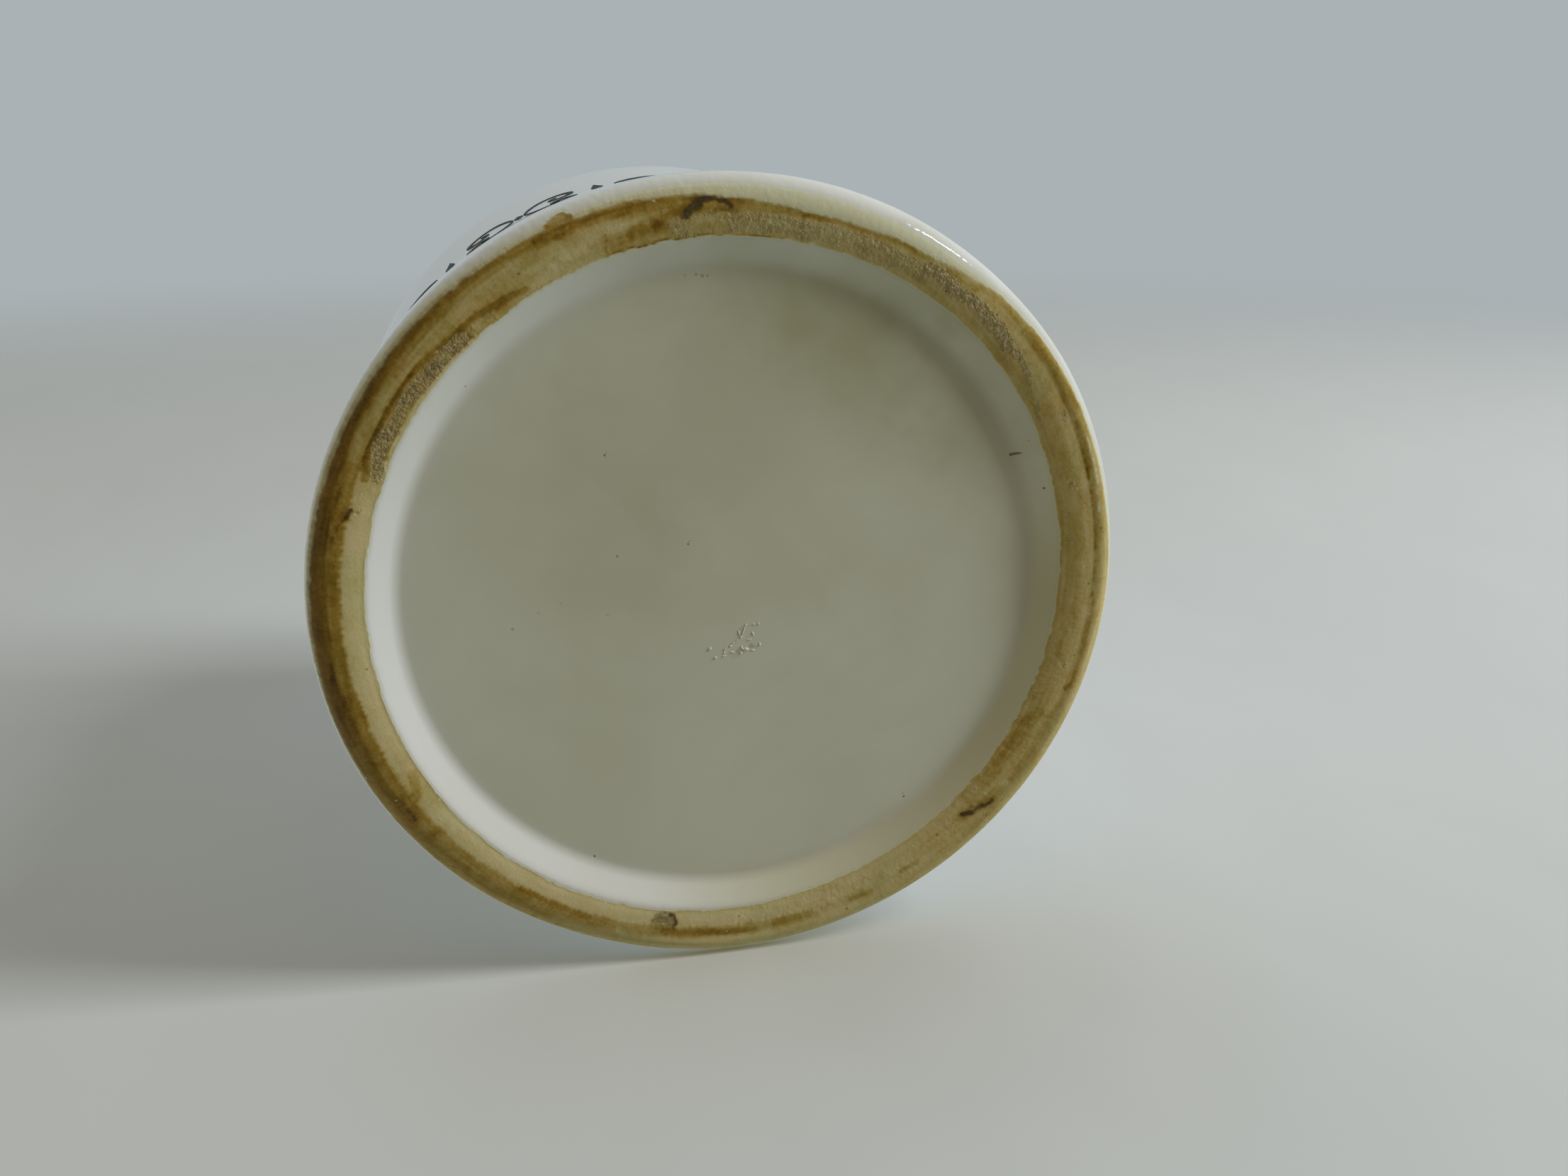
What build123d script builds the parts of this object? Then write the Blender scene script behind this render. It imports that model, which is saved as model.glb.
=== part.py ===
"""Squat apothecary jar of glazed ceramic, with a loose domed lid.

Frame: millimetres, +Z up along the axis of the jar. The origin is the centre of the
plane that the foot ring rests on.

Pieces, one STEP file each:
    jar_body  foot ring, recessed base, waisted wall, shoulder, neck and rim, one casting
    lid       domed disc, locating flange and knob, one casting
"""
from build123d import *
from math import acos, degrees, isclose, radians, sin, sqrt
import os

# ---------------------------------------------------------------- driving dimensions
# Foot: an unglazed ring around a shallow glazed recess.
foot_radius = 55.0           # widest point of the heel
heel_reach = 3.6             # the heel's curve, from the flat ring out to the widest point
heel_height = 2.8            # and up to it
foot_ring_width = 7.4        # from the widest point in to the recess
foot_edge_round = 0.5        # softens the inner edge of the ring
cove_width = 3.9             # from the ring's inner edge in to the flat base
recess_depth = 2.8           # flat base above the resting plane

# Wall: drawn in a little at half height, fuller again under the shoulder.
wall = 4.6
floor_thickness = 5.2
floor_corner = 9.0           # inside radius between floor and wall
waist_inset = 2.2            # wall at its narrowest, inside the widest point of the heel
waist_height = 46.0
shoulder_inset = 1.3         # the same where the shoulder starts
shoulder_height = 79.0       # where the wall begins to turn in

# Shoulder, neck and rim.
shoulder_rise = 10.0         # height of the shoulder's curve
neck_height = 4.5            # straight neck between shoulder and rim
neck_wall = 4.5
neck_fillet = 1.4            # softens the corners at both ends of the neck
mouth_radius = 37.5          # clear bore of the mouth
rim_overhang = 3.4           # rim beyond the neck
rim_height = 5.0
rim_round = 1.8              # outer edges of the rim
mouth_round = 1.0            # edges of the mouth's bore

# Lid: rests on the rim, and its flange hangs in the mouth.
lid_overhang = 1.0           # lid beyond the rim
lid_edge = 4.0               # height of the lid's outer edge
lid_edge_round = 1.6
lid_clearance = 1.0          # radial play of the flange in the mouth
flange_wall = 3.6
flange_depth = 8.0
flange_round = 1.0           # lower edges of the flange
seat_fillet = 0.8            # corner between the seat and the flange
dome_rise = 9.0              # top of the dome above the lid's edge
dome_thickness = 4.6
hollow_fillet = 2.0          # corner between the flange and the underside of the dome

# Knob: a short waist under a flattened ball.
knob_radius = 11.5
knob_height = 17.0           # height of the flattened ball
knob_waist_radius = 6.6
knob_waist_height = 3.5      # from the top of the dome to the underside of the ball
knob_fillet = 3.0            # sweeps the dome up into the waist
knob_under_fillet = 1.0      # softens the corner under the ball

# ---------------------------------------------------------------- derived dimensions
foot_recess_radius = foot_radius - foot_ring_width
recess_floor_radius = foot_recess_radius - cove_width
floor_height = recess_depth + floor_thickness
waist_radius = foot_radius - waist_inset
body_radius = foot_radius - shoulder_inset
neck_radius = mouth_radius + neck_wall
rim_radius = neck_radius + rim_overhang
shoulder_top = shoulder_height + shoulder_rise
rim_bottom = shoulder_top + neck_height
rim_top = rim_bottom + rim_height
mouth_bottom = shoulder_top - wall

lid_radius = rim_radius + lid_overhang
lid_edge_top = rim_top + lid_edge
flange_radius = mouth_radius - lid_clearance
flange_inner_radius = flange_radius - flange_wall
flange_bottom = rim_top - flange_depth
dome_top = lid_edge_top + dome_rise
dome_radius = (lid_radius**2 + dome_rise**2) / (2 * dome_rise)
dome_centre = dome_top - dome_radius
hollow_top = dome_top - dome_thickness
hollow_radius = dome_radius - dome_thickness
hollow_side = dome_centre + sqrt(hollow_radius**2 - flange_inner_radius**2)

knob_centre = dome_top + knob_waist_height + knob_height / 2
knob_top = knob_centre + knob_height / 2
# The waist meets the dome a little below its top, and the ball a little above its underside.
waist_bottom = dome_centre + sqrt(dome_radius**2 - knob_waist_radius**2)
waist_angle = degrees(acos(knob_waist_radius / knob_radius))
waist_top = knob_centre - knob_height / 2 * sin(radians(waist_angle))


def limited(radius, *faces):
    """A fillet's radius, kept under half of each face that it shares with another fillet."""
    return min(radius, *[0.45 * face for face in faces])


def rings(radius, height):
    """The circular edges, of the part being built, at a radius and a height."""
    return edges().filter_by(
        lambda edge: edge.geom_type == GeomType.CIRCLE
        and isclose(edge.radius, radius, abs_tol=1e-4)
        and isclose(edge.arc_center.Z, height, abs_tol=1e-4)
    )


# ---------------------------------------------------------------- jar body
with BuildPart() as jar_body:
    # Outside, from the axis along the foot and up to the rim.
    with BuildSketch(Plane.XZ):
        with BuildLine():
            foot = Line((0, 0), (foot_radius - heel_reach, 0))
            heel = EllipticalCenterArc(
                (foot_radius - heel_reach, heel_height), heel_reach, heel_height, 270, arc_size=90
            )
            side = Spline(
                heel @ 1,
                (waist_radius, waist_height),
                (body_radius, shoulder_height),
                tangents=[(0, 1), (0, 1)],
            )
            shoulder = EllipticalCenterArc(
                (neck_radius, shoulder_height), body_radius - neck_radius, shoulder_rise, 0, arc_size=90
            )
            Polyline(
                shoulder @ 1,
                (neck_radius, rim_bottom),
                (rim_radius, rim_bottom),
                (rim_radius, rim_top),
                (0, rim_top),
                foot @ 0,
            )
        make_face()
    revolve(axis=Axis.Z)

    # Inside, a wall's thickness within the outside, narrowing to the mouth.
    with BuildSketch(Plane.XZ):
        with BuildLine():
            floor = Line((0, floor_height), (waist_radius - wall - floor_corner, floor_height))
            corner = JernArc(floor @ 1, (1, 0), floor_corner, 90)
            inner_side = Spline(
                corner @ 1,
                (waist_radius - wall, waist_height),
                (body_radius - wall, shoulder_height),
                tangents=[(0, 1), (0, 1)],
            )
            inner_shoulder = EllipticalCenterArc(
                (mouth_radius, shoulder_height),
                body_radius - wall - mouth_radius,
                shoulder_rise - wall,
                0,
                arc_size=90,
            )
            Polyline(inner_shoulder @ 1, (mouth_radius, rim_top), (0, rim_top), floor @ 0)
        make_face()
    revolve(axis=Axis.Z, mode=Mode.SUBTRACT)

    # Recess under the foot: a cove that runs out into the flat base.
    with BuildSketch(Plane.XZ):
        with BuildLine():
            cove = EllipticalCenterArc((recess_floor_radius, 0), cove_width, recess_depth, 0, arc_size=90)
            Polyline(cove @ 1, (0, recess_depth), (0, 0), cove @ 0)
        make_face()
    revolve(axis=Axis.Z, mode=Mode.SUBTRACT)

    fillet(rings(foot_recess_radius, 0), foot_edge_round)
    for height in (shoulder_top, rim_bottom):
        fillet(rings(neck_radius, height), limited(neck_fillet, neck_height, rim_overhang))
    for height in (rim_bottom, rim_top):
        fillet(rings(rim_radius, height), limited(rim_round, rim_height, rim_overhang))
    for height in (mouth_bottom, rim_top):
        fillet(rings(mouth_radius, height), limited(mouth_round, neck_wall))

# ---------------------------------------------------------------- lid
with BuildPart() as lid:
    # Outside: flat seat, upright edge, shallow dome, and the knob on its waist.
    with BuildSketch(Plane.XZ):
        with BuildLine():
            dome = RadiusArc((knob_waist_radius, waist_bottom), (lid_radius, lid_edge_top), dome_radius)
            Polyline(dome @ 1, (lid_radius, rim_top), (0, rim_top), (0, knob_top))
            waist = Line(dome @ 0, (knob_waist_radius, waist_top))
            EllipticalCenterArc(
                (0, knob_centre), knob_radius, knob_height / 2, -waist_angle, arc_size=90 + waist_angle
            )
        make_face()
    revolve(axis=Axis.Z)

    # Locating flange, still solid.
    with BuildSketch(Plane.XY.offset(rim_top)):
        Circle(flange_radius)
    extrude(amount=-flange_depth)

    # Hollow inside the flange and under the dome.
    with BuildSketch(Plane.XZ):
        with BuildLine():
            under = RadiusArc((0, hollow_top), (flange_inner_radius, hollow_side), hollow_radius)
            Polyline(under @ 1, (flange_inner_radius, flange_bottom), (0, flange_bottom), under @ 0)
        make_face()
    revolve(axis=Axis.Z, mode=Mode.SUBTRACT)

    fillet(rings(knob_waist_radius, waist_bottom), knob_fillet)
    fillet(rings(knob_waist_radius, waist_top), knob_under_fillet)
    for height in (rim_top, lid_edge_top):
        fillet(rings(lid_radius, height), limited(lid_edge_round, lid_edge))
    fillet(rings(flange_radius, rim_top), seat_fillet)
    for radius in (flange_radius, flange_inner_radius):
        fillet(rings(radius, flange_bottom), limited(flange_round, flange_wall))
    fillet(rings(flange_inner_radius, hollow_side), hollow_fillet)

# ---------------------------------------------------------------- export
os.makedirs("parts", exist_ok=True)

jar_body.part.label = "jar_body"
export_step(jar_body.part, "parts/jar_body.step")

lid.part.label = "lid"
export_step(lid.part, "parts/lid.step")
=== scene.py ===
import math

import bpy
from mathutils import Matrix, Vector, noise


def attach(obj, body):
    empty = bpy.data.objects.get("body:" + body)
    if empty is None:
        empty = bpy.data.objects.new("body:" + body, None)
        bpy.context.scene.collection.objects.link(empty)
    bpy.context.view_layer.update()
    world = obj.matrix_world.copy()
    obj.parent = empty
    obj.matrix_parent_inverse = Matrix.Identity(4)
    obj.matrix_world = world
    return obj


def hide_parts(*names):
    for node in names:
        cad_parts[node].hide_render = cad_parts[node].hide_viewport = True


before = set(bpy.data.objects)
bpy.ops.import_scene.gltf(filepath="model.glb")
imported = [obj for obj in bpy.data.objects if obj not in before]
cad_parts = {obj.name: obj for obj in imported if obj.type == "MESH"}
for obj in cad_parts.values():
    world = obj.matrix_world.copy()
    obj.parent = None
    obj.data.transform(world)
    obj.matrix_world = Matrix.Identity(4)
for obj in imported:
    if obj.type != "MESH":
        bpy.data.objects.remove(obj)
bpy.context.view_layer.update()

# ---------------------------------------------------------------- camera
# The camera stands under the foot of the jar and a little in front of it, so the underside of the
# foot fills the middle of the view and the front of the wall just shows beyond its upper edge.
SENSOR_WIDTH = 36.0
LENS = 30.92
CAMERA_PLACE = (0.00003, -0.06723, -0.16814)
CAMERA_DEGREES = (161.152, 12.518, 26.914)
NEAREST_SEEN = 0.01
FARTHEST_SEEN = 60
bpy.ops.object.select_all(action="DESELECT")
bpy.ops.object.camera_add(
    location=CAMERA_PLACE, rotation=[math.radians(degrees) for degrees in CAMERA_DEGREES]
)
camera = bpy.context.object
camera.name = "camera"
camera.data.sensor_width = SENSOR_WIDTH
camera.data.lens = LENS
camera.data.clip_start = NEAREST_SEEN
camera.data.clip_end = FARTHEST_SEEN
bpy.context.scene.camera = camera

# ---------------------------------------------------------------- table
# A plain pale table top that the jar stands on. It shows from above only, so that it never comes
# between the foot and somebody who looks at it from below, and it fades out far from the jar.
TABLE_RADIUS = 5.0
TABLE_DROP = 0.0004
TABLE_FADE = (0.9, 4.5)
TABLE_COLOUR = (0.72, 0.72, 0.70, 1)
CLEAR = (1, 1, 1, 1)


def place(tree, kind, values=None, **settings):
    """Puts a node in a tree: sets its options, then fills or links its sockets."""
    node = tree.nodes.new(kind)
    for option, value in settings.items():
        setattr(node, option, value)
    for socket, value in (values or {}).items():
        if isinstance(value, bpy.types.NodeSocket):
            tree.links.new(value, node.inputs[socket])
        else:
            node.inputs[socket].default_value = value
    return node


def maths(tree, operation, first, second=0.0, third=0.0):
    """The result of a Math node."""
    node = place(tree, "ShaderNodeMath", {0: first, 1: second, 2: third}, operation=operation)
    return node.outputs[0]


def smooth_step(tree, value, low, high, to_low=0.0, to_high=1.0):
    """A value carried smoothly from one range to another."""
    node = place(
        tree,
        "ShaderNodeMapRange",
        {"Value": value, "From Min": low, "From Max": high, "To Min": to_low, "To Max": to_high},
        interpolation_type="SMOOTHSTEP",
    )
    return node.outputs["Result"]


def vector_maths(tree, operation, first, second=(0, 0, 0), result="Value"):
    """The result of a Vector Math node."""
    node = place(tree, "ShaderNodeVectorMath", {0: first, 1: second}, operation=operation)
    return node.outputs[result]


def own_place(tree):
    """The coordinates of a point on its own piece."""
    return place(tree, "ShaderNodeTexCoord").outputs["Object"]


def blank_material(name):
    """A material with its nodes cleared, and its node tree."""
    material = bpy.data.materials.new(name)
    material.use_nodes = True
    material.node_tree.nodes.clear()
    return material, material.node_tree


def show_from_front(tree, surface, hidden):
    """Ends a stage material: clear on its back face, and as clear elsewhere as hidden says."""
    behind = place(tree, "ShaderNodeNewGeometry").outputs["Backfacing"]
    mask = maths(tree, "MAXIMUM", behind, hidden)
    clear = place(tree, "ShaderNodeBsdfTransparent", {"Color": CLEAR})
    shown = place(tree, "ShaderNodeMixShader", {0: mask, 1: surface, 2: clear.outputs[0]})
    place(tree, "ShaderNodeOutputMaterial", {"Surface": shown.outputs[0]})


def only_seen(piece):
    """A stage piece that neither lights the object nor shades it."""
    piece.visible_diffuse = False
    piece.visible_glossy = False
    piece.visible_transmission = False
    piece.visible_shadow = False


bpy.ops.object.select_all(action="DESELECT")
bpy.ops.mesh.primitive_circle_add(
    vertices=96, radius=TABLE_RADIUS, fill_type="NGON", location=(0, 0, -TABLE_DROP)
)
table = bpy.context.object
table.name = "table"
bpy.ops.object.transform_apply(location=True, rotation=True, scale=True)
table_paint, tree = blank_material("table_paint")
table_fade = smooth_step(tree, vector_maths(tree, "LENGTH", own_place(tree)), *TABLE_FADE)
paint = place(tree, "ShaderNodeBsdfDiffuse", {"Color": TABLE_COLOUR})
show_from_front(tree, paint.outputs[0], table_fade)
table.data.materials.append(table_paint)
only_seen(table)

# ---------------------------------------------------------------- cloth behind the jar
# A pale cloth that touches the side of the jar. From below it is the ground that the jar seems to
# lie on. From above, the table hides its lower half and the upper half isn't shown.
CLOTH_NORMAL = Vector((0.4526, -0.8917, 0.0)).normalized()
CLOTH_REACH = 0.0552
CLOTH_SIZE = 6.0
CLOTH_FADE = (0.35, 1.1)
CLOTH_COLOUR = (0.62, 0.63, 0.62, 1)


def bumped(tree, height, strength, distance, **under):
    """The normal that a height gives to a surface, over another bump's normal where there is one."""
    sockets = {"Height": height, "Strength": strength, "Distance": distance, **under}
    return place(tree, "ShaderNodeBump", sockets).outputs[0]


bpy.ops.object.select_all(action="DESELECT")
bpy.ops.mesh.primitive_plane_add(size=CLOTH_SIZE, location=-CLOTH_REACH * CLOTH_NORMAL)
cloth = bpy.context.object
cloth.name = "cloth"
cloth.rotation_euler = CLOTH_NORMAL.to_track_quat("Z", "Y").to_euler()
bpy.ops.object.transform_apply(location=True, rotation=True, scale=True)
cloth_dye, tree = blank_material("cloth_dye")
where = own_place(tree)
height = place(tree, "ShaderNodeSeparateXYZ", {0: where}).outputs["Z"]
seen_through = place(tree, "ShaderNodeLightPath").outputs["Transparent Depth"]
above_table = maths(tree, "GREATER_THAN", height, -TABLE_DROP)
direct = maths(tree, "LESS_THAN", seen_through, 0.5)
cloth_hidden = maths(tree, "MULTIPLY", above_table, direct)
cloth_fade = smooth_step(tree, vector_maths(tree, "LENGTH", where), *CLOTH_FADE)
crumple = place(tree, "ShaderNodeTexNoise", {"Vector": where, "Scale": 7.0, "Detail": 3.0})
folds = bumped(tree, crumple.outputs["Fac"], 0.35, 0.01)
dye = place(tree, "ShaderNodeBsdfDiffuse", {"Color": CLOTH_COLOUR, "Normal": folds})
show_from_front(tree, dye.outputs[0], maths(tree, "MAXIMUM", cloth_hidden, cloth_fade))
cloth.data.materials.append(cloth_dye)
only_seen(cloth)

# ---------------------------------------------------------------- lamps
# Soft daylight: one broad light from the right of the jar and a little below it, and the room's own
# light, which is warm and dim below, paler on the side of the cloth and brightest above. Two small
# windows show only as reflections in the glaze.
KEY_DIRECTION = Vector((0.975, -0.102, -0.202))
KEY_POWER = 10.9
KEY_COLOUR = (0.95, 1.015, 1.075)
ROOM_POLE = (0.03, 0.028, 0.02, 1)
ROOM_LOW = (0.37, 0.28, 0.10, 1)
CLOTH_LOW = (0.52, 0.56, 0.44, 1)
ROOM_LEVEL = (0.40, 0.49, 0.58, 1)
ROOM_ABOVE = (0.74, 0.77, 0.79, 1)
ROOM_SEEN = (0.40, 0.445, 0.46, 1)
WINDOW_WHITE = (1, 1, 1)
RIGHT_WINDOW = Vector((0.917, -0.221, -0.332))
LEFT_WINDOW = Vector((-0.7, 0.55, 0.5))


def window(name, direction, distance, width, height, power, colour, lights_glaze, lights_all):
    """A rectangular lamp that faces the jar."""
    bpy.ops.object.select_all(action="DESELECT")
    bpy.ops.object.light_add(type="AREA", location=direction.normalized() * distance)
    lamp = bpy.context.object
    lamp.name = name
    lamp.data.shape = "RECTANGLE"
    lamp.data.size = width
    lamp.data.size_y = height
    lamp.data.energy = power
    lamp.data.color = colour
    lamp.rotation_euler = direction.to_track_quat("Z", "Y").to_euler()
    lamp.visible_camera = False
    lamp.visible_glossy = lights_glaze
    lamp.visible_diffuse = lights_all
    return lamp


def blended(tree, amount, first, second, how="MIX"):
    """Two colours mixed."""
    node = place(
        tree, "ShaderNodeMix", {"Factor": amount, 6: first, 7: second}, data_type="RGBA", blend_type=how
    )
    return node.outputs[2]


window("key", KEY_DIRECTION, 1.2, 1.0, 0.32, KEY_POWER, KEY_COLOUR, False, True)
window("right_window", RIGHT_WINDOW, 1.2, 0.19, 0.10, 1.9, WINDOW_WHITE, True, False)
window("left_window", LEFT_WINDOW, 1.3, 0.2, 0.34, 0.5, WINDOW_WHITE, True, False)

world = bpy.data.worlds.new("room")
bpy.context.scene.world = world
world.use_nodes = True
tree = world.node_tree
tree.nodes.clear()
direction = place(tree, "ShaderNodeTexCoord").outputs["Generated"]
upward = place(tree, "ShaderNodeSeparateXYZ", {0: direction}).outputs["Z"]
from_cloth = smooth_step(tree, vector_maths(tree, "DOT_PRODUCT", direction, CLOTH_NORMAL), -0.4, 0.2)
room_colour = blended(tree, from_cloth, CLOTH_LOW, ROOM_LOW)
room_colour = blended(tree, smooth_step(tree, upward, -0.1, 0.15), room_colour, ROOM_LEVEL)
room_colour = blended(tree, smooth_step(tree, upward, 0.15, 0.9), room_colour, ROOM_ABOVE)
room_colour = blended(tree, smooth_step(tree, upward, -0.85, -0.35), ROOM_POLE, room_colour)
room_light = place(tree, "ShaderNodeBackground", {"Color": room_colour, "Strength": 1.0})
room_backdrop = place(tree, "ShaderNodeBackground", {"Color": ROOM_SEEN, "Strength": 1.0})
rays = place(tree, "ShaderNodeLightPath")
seen = maths(tree, "MAXIMUM", rays.outputs["Is Camera Ray"], rays.outputs["Is Glossy Ray"])
seen = maths(tree, "MAXIMUM", seen, rays.outputs["Is Transmission Ray"])
both = place(
    tree, "ShaderNodeMixShader", {0: seen, 1: room_light.outputs[0], 2: room_backdrop.outputs[0]}
)
place(tree, "ShaderNodeOutputWorld", {"Surface": both.outputs[0]})
bpy.context.scene.view_settings.view_transform = "Standard"

# ---------------------------------------------------------------- jar
# The jar is one turned and fired ceramic casting under a thick white glaze. The glaze was wiped off
# the ring that it stands on, so the bare clay shows there, flashed brown by the iron in it, with
# kiln sand stuck to it.
MM = 0.001
JAR_SEGMENTS = 300
RING_CUTS = 5
BASE_Z = 2.8
BASE_TOP = 3.2 * MM
HEEL_START = 51.4
GLAZE_THICKNESS = 0.09 * MM


def ellipse(centre_r, centre_z, reach, rise, start, end, steps):
    """Points of an elliptical arc in a section, in millimetres, from one angle to another."""
    angles = [math.radians(start + (end - start) * i / steps) for i in range(steps + 1)]
    return [(centre_r + reach * math.cos(a), centre_z + rise * math.sin(a)) for a in angles]


def drawn_in(start, end, steps):
    """Points of a wall that leaves one end and reaches the other upright."""
    points = []
    for i in range(1, steps + 1):
        t = i / steps
        ease = t * t * (3 - 2 * t)
        points.append((start[0] + (end[0] - start[0]) * ease, start[1] + (end[1] - start[1]) * t))
    return points


def turned(name, outline, segments):
    """Draws half a section, beginning and ending on the axis, and turns it into a closed solid."""
    bpy.ops.object.select_all(action="DESELECT")
    bpy.ops.mesh.primitive_plane_add(size=1)
    piece = bpy.context.object
    piece.name = name
    piece.data.name = name
    bpy.ops.object.mode_set(mode="EDIT")
    bpy.ops.mesh.select_mode(type="VERT")
    bpy.ops.mesh.select_all(action="SELECT")
    bpy.ops.mesh.merge(type="CENTER")
    here = (0.0, 0.0)
    for number, point in enumerate(outline):
        step = ((point[0] - here[0]) * MM, 0, (point[1] - here[1]) * MM)
        if number == 0:
            bpy.ops.transform.translate(value=step)
        else:
            bpy.ops.mesh.extrude_vertices_move(TRANSFORM_OT_translate={"value": step})
        here = point
    bpy.ops.mesh.select_all(action="SELECT")
    bpy.ops.mesh.spin(steps=segments, angle=2 * math.pi, center=(0, 0, 0), axis=(0, 0, 1))
    bpy.ops.mesh.select_all(action="SELECT")
    bpy.ops.mesh.remove_doubles(threshold=0.001 * MM)
    bpy.ops.mesh.normals_make_consistent(inside=False)
    bpy.ops.object.mode_set(mode="OBJECT")
    bpy.ops.object.shade_smooth()
    return piece


base_rows = [(r, BASE_Z) for r in (0, 1, 2.5, 5, 8, 12, 16, 20, 24, 28, 32, 35, 38, 40.5, 42)]
recess_corner = ellipse(43.0, -0.4, 3.2, 3.2, 90, 58, 8)
recess_slope = [(45.15, 2.01), (45.6, 1.72), (46.05, 1.42), (46.5, 1.12), (46.9, 0.86)]
ring_edge = [(47.2, 0.69), (47.45, 0.575), (47.7, 0.5)]
ring_crown = [(47.95 + 0.27 * i, 0.46 * ((51.19 - 47.95 - 0.27 * i) / 3.24) ** 2) for i in range(13)]
heel = ellipse(HEEL_START, 2.8, 3.6, 2.8, 270, 360, 15)
lower_wall = drawn_in((55.0, 2.8), (52.8, 46.0), 16)
upper_wall = drawn_in((52.8, 46.0), (53.7, 79.0), 11)
shoulder = ellipse(42.0, 79.0, 11.7, 10.0, 5, 83, 14)
neck = ellipse(43.4, 90.4, 1.4, 1.4, 270, 180, 5) + ellipse(43.4, 92.1, 1.4, 1.4, 180, 90, 5)
rim = ellipse(43.87, 95.03, 1.53, 1.53, 270, 360, 5) + ellipse(43.87, 96.97, 1.53, 1.53, 0, 90, 5)
mouth = [(41.2, 98.5)] + ellipse(38.5, 97.5, 1.0, 1.0, 90, 180, 4)
mouth += [(37.5, 91.5)] + ellipse(38.5, 85.4, 1.0, 1.0, 180, 270, 4)
inside = ellipse(37.5, 79.0, 11.6, 5.4, 80, 0, 8)
inside += drawn_in((49.1, 79.0), (48.2, 46.0), 4) + [(48.2, 32.0)]
inside += ellipse(39.2, 17.0, 9.0, 9.0, 0, -90, 8) + [(28.0, 8.0), (14.0, 8.0), (4.0, 8.0), (0.0, 8.0)]
jar_outline = base_rows + recess_corner + recess_slope + ring_edge + ring_crown + heel
jar_outline += lower_wall + upper_wall + shoulder
jar_outline += neck + rim + mouth + inside
jar = turned("jar_glazed", jar_outline, JAR_SEGMENTS)

# The foot is cut finer round the jar than the rest, so that it can carry the grain of the bare clay.
FOOT_TOP = 2.9 * MM
FOOT_INNER = 46.9 * MM
NEAR = 0.001 * MM


def axis_distance(point):
    """Distance of a point from the axis of the jar."""
    return math.hypot(point.x, point.y)


bpy.ops.object.mode_set(mode="EDIT")
bpy.ops.mesh.select_mode(type="EDGE")
bpy.ops.mesh.select_all(action="DESELECT")
bpy.ops.object.mode_set(mode="OBJECT")
for edge in jar.data.edges:
    one, other = [jar.data.vertices[i].co for i in edge.vertices]
    level = abs(axis_distance(one) - axis_distance(other)) < NEAR and abs(one.z - other.z) < NEAR
    edge.select = level and one.z < FOOT_TOP and axis_distance(one) > FOOT_INNER
bpy.ops.object.mode_set(mode="EDIT")
bpy.ops.mesh.subdivide(number_cuts=RING_CUTS)
bpy.ops.mesh.select_all(action="DESELECT")
bpy.ops.object.mode_set(mode="OBJECT")

# The paint of the foot. Stops go round the jar in degrees from the front towards +X, each with a
# value, and it runs straight between them. Here they are the millimetres from the axis at which the
# glaze begins, at which it is thick and white, and at which the bare ring ends inside; and how white
# the glaze is where it begins. Between 84 and 112 degrees the thick white edge comes further in: a
# painted highlight along the rim over the real glaze edge.
OUTER_EDGE = (
    (0, 53.35), (10, 53.2), (17, 53.0), (22, 52.6), (27, 52.0), (31, 51.7), (36, 51.05), (45, 51.05),
    (50, 51.3), (57, 51.5), (60, 51.9), (65, 52.5), (70, 53.3), (80, 53.8), (93, 53.9),
    (132, 54.2), (150, 54.8), (165, 55.2), (235, 55.2), (262, 55.0), (285, 54.7),
    (340, 54.0), (352, 53.6), (360, 53.35),
)
MILKY_EDGE_AND_HIGHLIGHT = (
    (0, 54.7), (15, 54.6), (25, 54.4), (34, 54.2), (45, 53.9), (60, 53.85), (75, 54.0), (84, 54.3),
    (95, 54.5), (104, 54.8), (112, 55.2), (125, 55.8), (150, 56.05), (190, 55.9), (215, 56.05),
    (262, 56.0), (300, 56.0), (330, 55.7), (345, 55.3), (352, 55.0), (360, 54.7),
)
THIN_GLAZE = (
    (0, 0.44), (18, 0.44), (30, 0.50), (44, 0.56), (60, 0.58), (70, 0.48), (80, 0.28), (92, 0.20),
    (104, 0.16), (135, 0.10), (165, 0.0), (235, 0.0), (262, 0.20), (300, 0.28), (345, 0.36), (360, 0.44),
)
INNER_EDGE = (
    (0, 47.3), (80, 47.15), (105, 47.0), (170, 47.05), (190, 47.3), (205, 47.6), (222, 47.95),
    (240, 47.8), (262, 47.5), (300, 47.3), (360, 47.3),
)
# How brown the kiln's flame left the clay, from 0, pale, to 1, nearly black: near the outer edge of
# the ring, along its middle and near its inner edge.
OUTER_FLASH = (
    (0, 0.68), (20, 0.56), (30, 0.40), (60, 0.36), (72, 0.42), (90, 0.50), (105, 0.44), (120, 0.34),
    (135, 0.34), (165, 0.36), (185, 0.26), (215, 0.30), (235, 0.46), (258, 0.58), (275, 0.70),
    (285, 0.84), (300, 0.84), (320, 0.84), (345, 0.78), (352, 0.72), (360, 0.64),
)
MIDDLE_FLASH = (
    (0, 0.46), (8, 0.44), (16, 0.50), (22, 0.56), (36, 0.46), (46, 0.34), (60, 0.36), (90, 0.34),
    (130, 0.34), (150, 0.38), (165, 0.34), (180, 0.24), (195, 0.30), (205, 0.50), (219, 0.52),
    (224, 0.46), (240, 0.56), (258, 0.52), (265, 0.60), (285, 0.68), (300, 0.72), (315, 0.66),
    (335, 0.52), (350, 0.50), (360, 0.46),
)
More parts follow.
